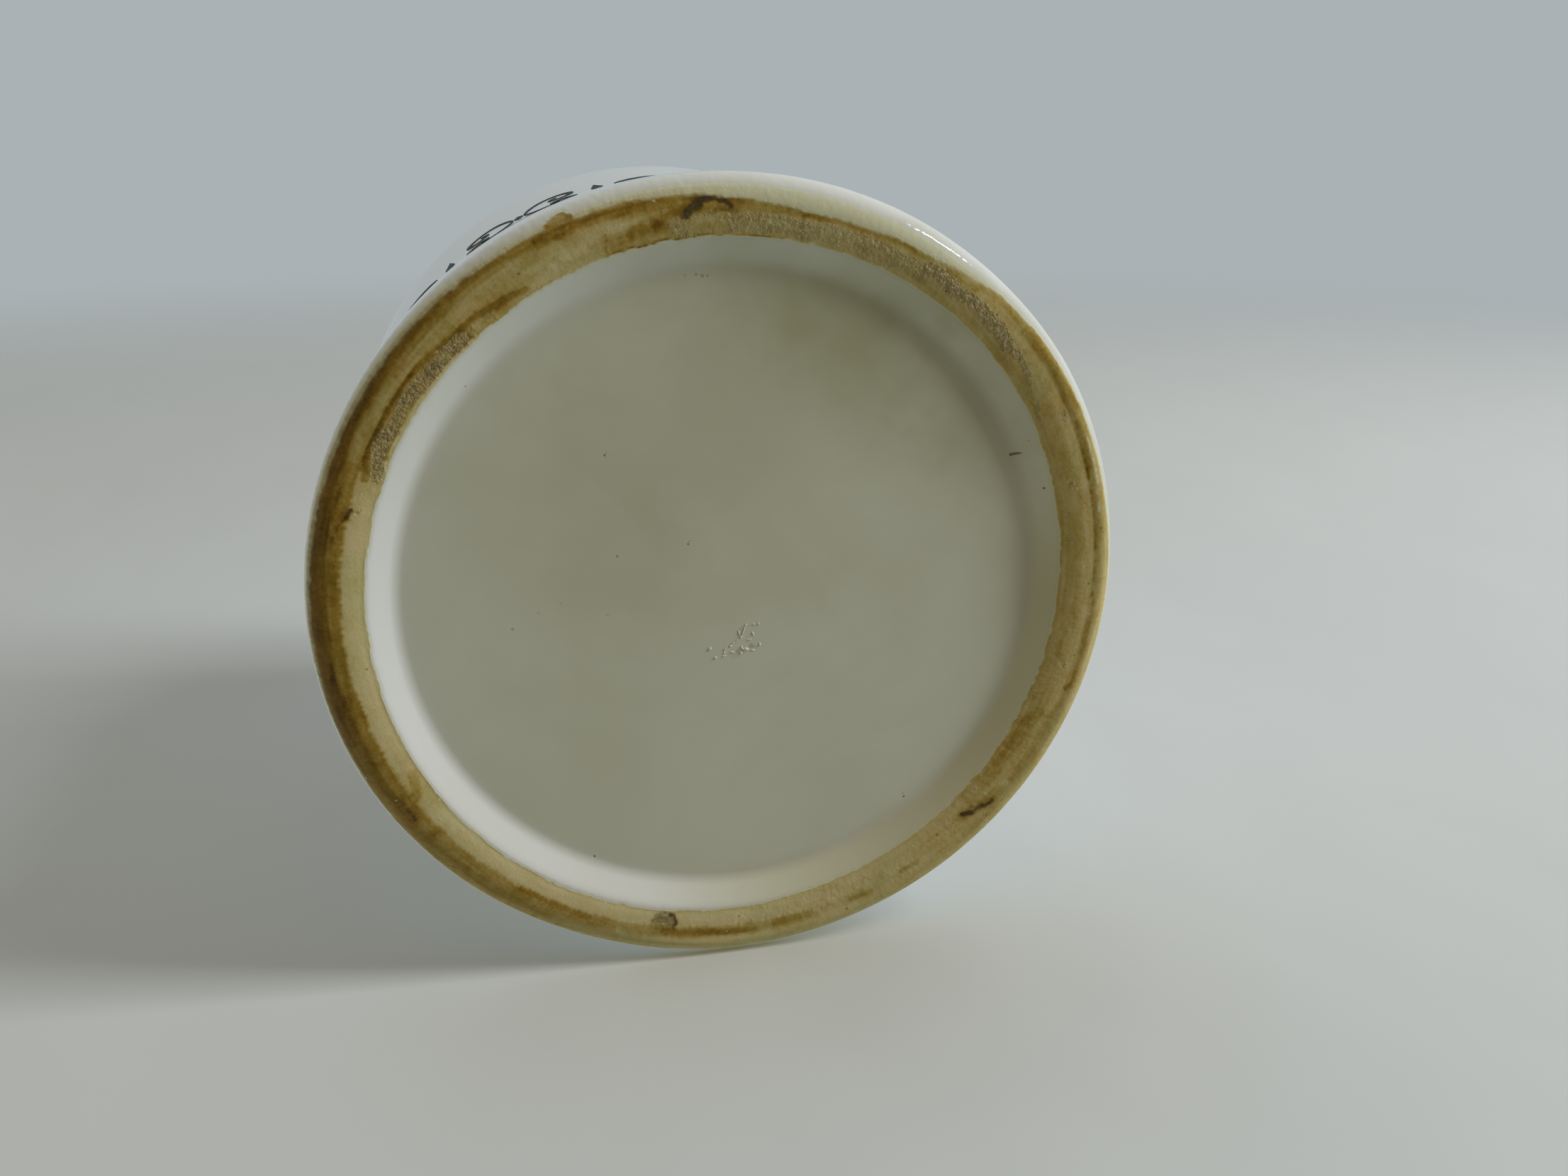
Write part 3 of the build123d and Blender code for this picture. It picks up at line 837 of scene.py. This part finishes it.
round_streaks = noise_at(tree, wiped(1.0, 0.012), 1000.0, 3.0, 0.6)
cross_streaks = noise_at(tree, wiped(0.22, 0.05), 1800.0, 2.0, 0.55)
patches = noise_at(tree, where, 420.0, 4.0, 0.6, 0.5)
broad = noise_at(tree, where, 130.0, 2.0, 0.5)
grain = noise_at(tree, where, 2400.0, 3.0, 0.7)
flash = swayed(tree, takes.outputs["Flash"], round_streaks, 0.14)
flash = swayed(tree, flash, cross_streaks, 0.06)
flash = swayed(tree, flash, patches, 0.40)
flash = swayed(tree, flash, grain, 0.32)
ramp = place(tree, "ShaderNodeValToRGB", {"Fac": flash})
for number, (at, colour) in enumerate(CLAY_COLOURS):
    stop = ramp.color_ramp.elements[number] if number < 2 else ramp.color_ramp.elements.new(at)
    stop.position = at
    stop.color = colour
olive = smooth_step(tree, broad, 0.42, 0.62)
clay = blended(tree, olive, ramp.outputs["Color"], OLIVE_TINT, "MULTIPLY")
flecks = place(tree, "ShaderNodeTexVoronoi", {"Vector": where, "Scale": 640.0})
fleck_kind = place(tree, "ShaderNodeSeparateColor", {0: flecks.outputs["Color"]})
fleck_spread = swayed(tree, flecks.outputs["Distance"], grain, 0.32)
fleck = smooth_step(tree, fleck_spread, 0.04, 0.16, 0.7, 0.0)
fleck_dark = maths(tree, "GREATER_THAN", fleck_kind.outputs[0], 0.86)
fleck_pale = maths(tree, "GREATER_THAN", fleck_kind.outputs[1], 0.84)
clay = blended(tree, maths(tree, "MULTIPLY", fleck, fleck_pale), clay, FLECK_PALE)
clay = blended(tree, maths(tree, "MULTIPLY", fleck, fleck_dark), clay, FLECK_DARK)
grains = place(
    tree, "ShaderNodeTexVoronoi", {"Vector": where, "Scale": 3000.0, "Detail": 1.5, "Roughness": 0.45}
)
grain_kind = place(tree, "ShaderNodeSeparateColor", {0: grains.outputs["Color"]}).outputs[0]
sand_colour = blended(tree, smooth_step(tree, grain_kind, 0.2, 0.9), SAND_PALE, SAND_DARK)
between = smooth_step(tree, grains.outputs["Distance"], 0.5, 1.0)
sand_colour = blended(tree, maths(tree, "MULTIPLY", between, 0.26), sand_colour, SAND_GAPS)
gritty = swayed(tree, takes.outputs["Sand"], patches, 0.6)
gritty = smooth_step(tree, gritty, 0.3, 0.8)
clay = blended(tree, maths(tree, "MULTIPLY", gritty, 0.64), clay, sand_colour)
charred = swayed(tree, takes.outputs["Burnt"], grain, 0.55)
charred = smooth_step(tree, swayed(tree, charred, patches, 0.45), 0.18, 1.0, 0.0, 0.92)
clay = blended(tree, charred, clay, BURNT_COLOUR)
grit = maths(tree, "MULTIPLY", maths(tree, "SUBTRACT", 1.0, grains.outputs["Distance"]), gritty)
rough = maths(tree, "MULTIPLY_ADD", grain, 0.30, grit)
rough = maths(tree, "MULTIPLY_ADD", patches, 0.5, rough)
rough = maths(tree, "MULTIPLY_ADD", fleck, 0.2, rough)
sheen = smooth_step(tree, takes.outputs["Flash"], 0.35, 0.75, 0.82, 0.5)
sheen = maths(tree, "MAXIMUM", sheen, maths(tree, "MULTIPLY", gritty, 0.85))
tree.links.new(clay, gives.inputs["Color"])
tree.links.new(rough, gives.inputs["Height"])
tree.links.new(cross_streaks, gives.inputs["Streaks"])
tree.links.new(sheen, gives.inputs["Roughness"])


def fired(name, white, pooled, has_base):
    """The finish of a fired piece: white glaze where it was painted, and bare clay elsewhere."""
    finish, tree = blank_material(name)
    glaze_node = grouped(tree, white_glaze, {"White": white, "Pooled": pooled})
    milk = glaze_node.outputs["Color"]
    if has_base:
        base_node = grouped(tree, white_glaze, {"White": BASE_WHITE, "Pooled": BASE_POOLED})
        height, across = along_axis(tree, own_place(tree))
        on_base = smooth_step(tree, vector_maths(tree, "LENGTH", across), 42.3 * MM, 44.6 * MM, 1.0, 0.0)
        below = smooth_step(tree, height, BASE_TOP, STAIN_AND_SHADE_END, 1.0, 0.0)
        on_base = maths(tree, "MULTIPLY", on_base, below)
        milk = blended(tree, on_base, milk, base_node.outputs["Color"])
        # The base is darkened by faint stains and by painted shade from the ring, and yellowed in its
        # corner by a stain and painted warm shade.
        stain_shade_node = grouped(tree, stains_and_shade)
        stained_shaded = maths(tree, "MULTIPLY", stain_shade_node.outputs["BrownShade"], below)
        milk = blended(tree, stained_shaded, milk, STAIN_AND_SHADE_TINT, "MULTIPLY")
        yellowed_shaded = maths(tree, "MULTIPLY", stain_shade_node.outputs["YellowShade"], below)
        milk = blended(tree, yellowed_shaded, milk, YELLOW_SHADE_TINT, "MULTIPLY")
    painted = {
        layer: place(tree, "ShaderNodeAttribute", attribute_name=layer).outputs["Fac"]
        for layer in ("glaze", "flash", "sand", "burnt")
    }
    kiln = {"Flash": painted["flash"], "Sand": painted["sand"], "Burnt": painted["burnt"]}
    clay_node = grouped(tree, bare_clay, kiln)
    partly = maths(tree, "MULTIPLY", painted["glaze"], maths(tree, "SUBTRACT", 1.0, painted["glaze"]))
    glazed = swayed(tree, 0.0, clay_node.outputs["Streaks"], 1.5)
    glazed = maths(tree, "MULTIPLY_ADD", glazed, partly, painted["glaze"])
    covered = smooth_step(tree, glazed, 0.0, 0.6)
    colour = blended(tree, covered, clay_node.outputs["Color"], GLAZE_IVORY)
    colour = blended(tree, smooth_step(tree, glazed, 0.55, 1.0), colour, milk)
    shiny = smooth_step(tree, painted["glaze"], 0.35, 0.9)
    matt = maths(tree, "SUBTRACT", 1.0, shiny)
    clay_height = maths(tree, "MULTIPLY", clay_node.outputs["Height"], matt)
    glaze_height = maths(tree, "MULTIPLY", glaze_node.outputs["Height"], shiny)
    if has_base:
        hole = grouped(tree, pinholes).outputs["Dark"]
        colour = blended(tree, hole, colour, PINHOLE_BROWN)
        glaze_height = maths(tree, "MULTIPLY_ADD", hole, -6.0, glaze_height)
    clay_bump = bumped(tree, clay_height, 0.8, 0.16 * MM)
    glaze_bump = bumped(tree, glaze_height, 0.5, 0.02 * MM, Normal=clay_bump)
    roughness = smooth_step(tree, shiny, 0.0, 1.0)
    roughness = place(
        tree, "ShaderNodeMix", {0: roughness, 2: clay_node.outputs["Roughness"], 3: 0.8}, data_type="FLOAT"
    ).outputs[0]
    surface = place(
        tree,
        "ShaderNodeBsdfPrincipled",
        {"Base Color": colour, "Roughness": roughness, "Specular IOR Level": 0.2, "Coat Weight": shiny,
         "Coat Roughness": 0.06, "Coat IOR": 1.5, "Normal": glaze_bump},
    )
    place(tree, "ShaderNodeOutputMaterial", {"Surface": surface.outputs[0]})
    return finish


jar.data.materials.clear()
jar.data.materials.append(fired("glazed_jar", GLAZE_WHITE, GLAZE_POOLED, True))

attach(jar, "jar")
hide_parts("jar_body")

# ---------------------------------------------------------------- crumb of glaze on the base
# A flaw near the middle of the base: crumbs and a thin ridge of glaze that fell on it in the kiln
# and stuck. Each is a small rough lump, half sunk in the glaze.
CRUMBS = (
    (-1.0, 5.9, 1.04, 0.08, -43), (-0.25, 5.2, 0.16, 0.12, 32), (-1.7, 6.5, 0.24, 0.16, -17),
    (-1.6, 5.85, 0.50, 0.09, -80), (-3.1, 6.7, 0.44, 0.10, -14), (-4.35, 6.9, 0.44, 0.10, -27),
    (-3.45, 6.85, 0.18, 0.15, 32), (-3.75, 7.8, 0.36, 0.10, 27), (-2.75, 8.55, 0.22, 0.18, -33),
    (-2.4, 6.6, 0.40, 0.08, -22), (-5.0, 7.7, 0.30, 0.09, 10), (-4.7, 7.3, 0.14, 0.11, 0),
    (-2.25, 7.95, 0.32, 0.09, 90), (-1.9, 8.45, 0.36, 0.25, 21), (-1.1, 9.05, 0.31, 0.14, 32),
    (0.1, 8.8, 0.30, 0.18, -53), (-0.4, 8.65, 0.34, 0.07, 10), (-0.95, 7.35, 0.17, 0.12, 32),
    (-0.65, 7.45, 0.13, 0.09, -33), (0.0, 6.95, 0.38, 0.10, 99), (0.8, 5.75, 0.32, 0.06, 32),
    (1.35, 6.0, 0.24, 0.12, -53), (-6.1, 7.3, 0.22, 0.18, -17), (-6.15, 5.7, 0.24, 0.18, -33),
)
CRUMB_HEIGHT = 0.55
LEAST_WIDTH = 0.12
CRUMB_WHITE = (0.86, 0.855, 0.80, 1)
CRUMB_POOLED = (0.78, 0.765, 0.66, 1)
CRUMB_DIRT = (0.45, 0.38, 0.25, 1)


def whole_mesh(operator, **settings):
    """Works on the whole mesh of the active piece with one operator."""
    bpy.ops.object.mode_set(mode="EDIT")
    bpy.ops.mesh.select_all(action="SELECT")
    operator(**settings)
    bpy.ops.object.mode_set(mode="OBJECT")


def joined(pieces, name):
    """Some pieces made into one."""
    take_up(pieces)
    bpy.ops.object.join()
    bpy.context.object.name = name
    return bpy.context.object


def crumb(x, y, length, width, turn):
    """A rough lump of glaze on the base, in millimetres and degrees."""
    bpy.ops.object.select_all(action="DESELECT")
    bpy.ops.mesh.primitive_ico_sphere_add(subdivisions=3, radius=MM, location=(0, 0, 0))
    lump = bpy.context.object
    height = CRUMB_HEIGHT * max(width, LEAST_WIDTH) + 0.02
    whole_mesh(bpy.ops.transform.resize, value=(length, width, height), center_override=(0, 0, 0))
    lump.rotation_euler = (0, 0, math.radians(turn))
    lump.location = (x * MM, y * MM, BASE_Z * MM)
    bpy.ops.object.transform_apply(location=True, rotation=True, scale=True)
    return lump


flaw = joined([crumb(*sizes) for sizes in CRUMBS], "glaze_crumbs")
flaw.vertex_groups.new(name="rough").add(range(len(flaw.data.vertices)), 1.0, "REPLACE")
pressed(flaw, "rough", 0.16 * MM, 0.5, 0.28 * MM)
bpy.ops.object.shade_smooth()
crust, tree = blank_material("crumbled_glaze")
glaze_node = grouped(tree, white_glaze, {"White": CRUMB_WHITE, "Pooled": CRUMB_POOLED})
where = own_place(tree)
dirt = smooth_step(tree, noise_at(tree, where, 1800.0, 3.0, 0.6), 0.52, 0.75, 0.0, 0.35)
colour = blended(tree, dirt, glaze_node.outputs["Color"], CRUMB_DIRT)
bump = bumped(tree, noise_at(tree, where, 4200.0, 2.0), 0.5, 0.08 * MM)
surface = place(
    tree,
    "ShaderNodeBsdfPrincipled",
    {"Base Color": colour, "Roughness": 0.45, "Specular IOR Level": 0.4, "Normal": bump},
)
place(tree, "ShaderNodeOutputMaterial", {"Surface": surface.outputs[0]})
flaw.data.materials.clear()
flaw.data.materials.append(crust)
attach(flaw, "jar")

# ---------------------------------------------------------------- painted ornament
# A small ornament on the front of the wall: scrolls, leaves and lozenges in black enamel, brushed
# on over the glaze and fired again, so that it stands a hair's breadth proud.
BAND_HEIGHT = 46.6
IN_FRONT = -60
ENAMEL_THICKNESS = 0.12 * MM
PUDDLE = 0.1 * MM
SCROLL = ((1.0, 0.4), (1.9, 5.2), (5.2, 8.4), (9.3, 6.2), (8.8, 2.0), (5.9, 1.2), (4.7, 3.5), (6.6, 4.7))
SCROLL_WIDTHS = (0.25, 0.9, 0.7, 1.1, 0.8, 0.5, 0.45, 0.4)
LEAF = ((15.4, 0.6), (17.4, 3.4), (19.6, 5.6), (22.2, 6.6))
LEAF_WIDTHS = (0.25, 2.0, 1.7, 0.12)
TENDRIL = ((16.2, 0.35), (19.2, 1.0), (21.6, 2.4), (23.8, 2.4), (24.4, 0.9))
TENDRIL_WIDTHS = (0.2, 0.55, 0.7, 0.8, 0.35)
LOZENGES = (((0, 0), (0.8, 0), (0, 2.2)), ((11.8, 0), (13.6, 0), (12.7, 6.0)))


def brushstroke(points, widths):
    """A flat stroke of enamel through some points, as wide as it says at each, in millimetres."""
    line = bpy.data.curves.new("stroke", "CURVE")
    line.dimensions = "3D"
    line.twist_mode = "Z_UP"
    line.extrude = 0.5 * MM
    line.resolution_u = 10
    spline = line.splines.new("NURBS")
    spline.points.add(len(points) - 1)
    for knot, (x, y), width in zip(spline.points, points, widths):
        knot.co = (x * MM, y * MM, 0, 1)
        knot.radius = width
        knot.tilt = math.radians(90)
    spline.order_u = 4
    spline.use_endpoint_u = True
    stroke = bpy.data.objects.new("stroke", line)
    bpy.context.collection.objects.link(stroke)
    take_up([stroke])
    bpy.ops.object.convert(target="MESH")
    return bpy.context.object


def lozenge(corners):
    """A quarter or a half of a lozenge, from a triangle, in millimetres."""
    bpy.ops.object.select_all(action="DESELECT")
    bpy.ops.mesh.primitive_circle_add(vertices=3, radius=MM, fill_type="NGON")
    shape = bpy.context.object
    for vertex, (x, y) in zip(shape.data.vertices, corners):
        vertex.co = (x * MM, y * MM, 0)
    whole_mesh(bpy.ops.mesh.subdivide, number_cuts=5)
    return shape


def finished_with(piece, kind, **settings):
    """Adds a modifier to a piece and applies it."""
    take_up([piece])
    modifier = piece.modifiers.new(kind, kind)
    for option, value in settings.items():
        setattr(modifier, option, value)
    bpy.ops.object.modifier_apply(modifier=modifier.name)


strokes = [brushstroke(SCROLL, SCROLL_WIDTHS), brushstroke(LEAF, LEAF_WIDTHS)]
strokes += [brushstroke(TENDRIL, TENDRIL_WIDTHS)] + [lozenge(corners) for corners in LOZENGES]
ornament = joined(strokes, "painted_ornament")
finished_with(ornament, "MIRROR", use_axis=(True, True, False), merge_threshold=0.01 * MM)
whole_mesh(bpy.ops.mesh.remove_doubles, threshold=0.002 * MM)
# The strokes run together where they cross, so they are melted into one flat puddle.
finished_with(ornament, "SOLIDIFY", thickness=5 * PUDDLE, offset=0.0)
finished_with(ornament, "REMESH", mode="VOXEL", voxel_size=PUDDLE)
whole_mesh(bpy.ops.mesh.bisect, plane_co=(0, 0, 2 * PUDDLE), plane_no=(0, 0, 1), clear_inner=True)
ornament.rotation_euler = (math.radians(90), 0, 0)
ornament.location = (0, IN_FRONT * MM, BAND_HEIGHT * MM)
bpy.ops.object.transform_apply(location=True, rotation=True, scale=True)
finished_with(
    ornament,
    "SHRINKWRAP",
    target=jar,
    wrap_method="PROJECT",
    use_project_y=True,
    use_negative_direction=False,
    use_positive_direction=True,
)
whole_mesh(bpy.ops.mesh.remove_doubles, threshold=0.03 * MM)
finished_with(ornament, "SOLIDIFY", thickness=ENAMEL_THICKNESS, offset=0.5)
whole_mesh(bpy.ops.mesh.normals_make_consistent, inside=False)
bpy.ops.object.shade_smooth_by_angle(angle=math.radians(40))
ENAMEL_BLACK = (0.018, 0.018, 0.022, 1)
ENAMEL_THIN = (0.075, 0.072, 0.075, 1)
enamel, tree = blank_material("black_enamel")
where = own_place(tree)
brushing = smooth_step(tree, noise_at(tree, where, 500.0, 3.0, 0.6), 0.5, 0.75, 0.0, 0.6)
enamel_bump = bumped(tree, noise_at(tree, where, 1500.0, 2.0), 0.15, 0.03 * MM)
surface = place(
    tree,
    "ShaderNodeBsdfPrincipled",
    {"Base Color": blended(tree, brushing, ENAMEL_BLACK, ENAMEL_THIN), "Roughness": 0.5,
     "Specular IOR Level": 0.12, "Normal": enamel_bump},
)
place(tree, "ShaderNodeOutputMaterial", {"Surface": surface.outputs[0]})
ornament.data.materials.clear()
ornament.data.materials.append(enamel)
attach(ornament, "jar")

# ---------------------------------------------------------------- lid
# The lid was turned and fired like the jar: a shallow dome with an upright edge, a knob to lift it
# by, and a flange that hangs loosely in the mouth. Its seat and flange were wiped clean of glaze.
LID_SEGMENTS = 256
LID_GLAZE_THICKNESS = 0.15 * MM
DOME_RADIUS = 124.1
DOME_CENTRE = -12.6


def dome(radius, rows):
    """Points of the dome, or of its underside, at some distances from the axis."""
    return [(r, DOME_CENTRE + math.sqrt(radius**2 - r**2)) for r in rows]


hollow = dome(DOME_RADIUS - 4.6, (0, 3, 8, 13, 18, 23, 27, 29.8))
hollow += ellipse(30.9, 100.76, 2.0, 2.0, 74, 0, 6) + [(32.9, 98.0), (32.9, 94.5)]
flange = ellipse(33.9, 91.5, 1.0, 1.0, 180, 270, 5) + ellipse(35.5, 91.5, 1.0, 1.0, 270, 360, 5)
flange += [(36.5, 94.0), (36.5, 96.2)] + ellipse(37.3, 97.7, 0.8, 0.8, 180, 90, 5)
seat = [(38.5, 98.5), (40.5, 98.5), (42.5, 98.5)]
edge = ellipse(44.8, 100.1, 1.6, 1.6, 270, 360, 8) + ellipse(44.8, 101.41, 1.6, 1.6, 0, 68, 8)
top = dome(DOME_RADIUS, (44.6, 42.5, 40, 37, 34, 31, 28, 25, 22, 19, 16.5, 14, 12, 10.6))
stem = ellipse(9.6, 114.14, 3.0, 3.0, 265, 180, 10)
stem += [(6.6, 115.2), (6.63, 115.8), (6.74, 116.3), (7.05, 116.75)]
knob = ellipse(0, 123.5, 11.5, 8.5, -48, 90, 30)
lid = turned("lid_glazed", hollow + flange + seat + edge + top + stem + knob, LID_SEGMENTS)
lid_layers = blank_layers(lid, LAYERS)
for vertex in lid.data.vertices:
    reach = axis_distance(vertex.co) / MM
    height = vertex.co.z / MM
    wander = 0.35 * noise.noise(vertex.co * 250)
    unglazed = fading(reach + wander, 34.2, 43.6, 0.35) * fading(height + wander, 0, 98.6, 0.2)
    lid_layers["glaze"][vertex.index] = 1 - unglazed
    lid_layers["bare"][vertex.index] = unglazed
    lid_layers["flash"][vertex.index] = 0.22 + 0.25 * fading(reach, 43.0, NO_END, 0.8)
keep_layers(lid, lid_layers)
pressed(lid, "bare", -LID_GLAZE_THICKNESS, 0.0)
lid.data.materials.clear()
lid.data.materials.append(fired("glazed_lid", GLAZE_WHITE, GLAZE_POOLED, False))
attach(lid, "cover")
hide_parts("lid")
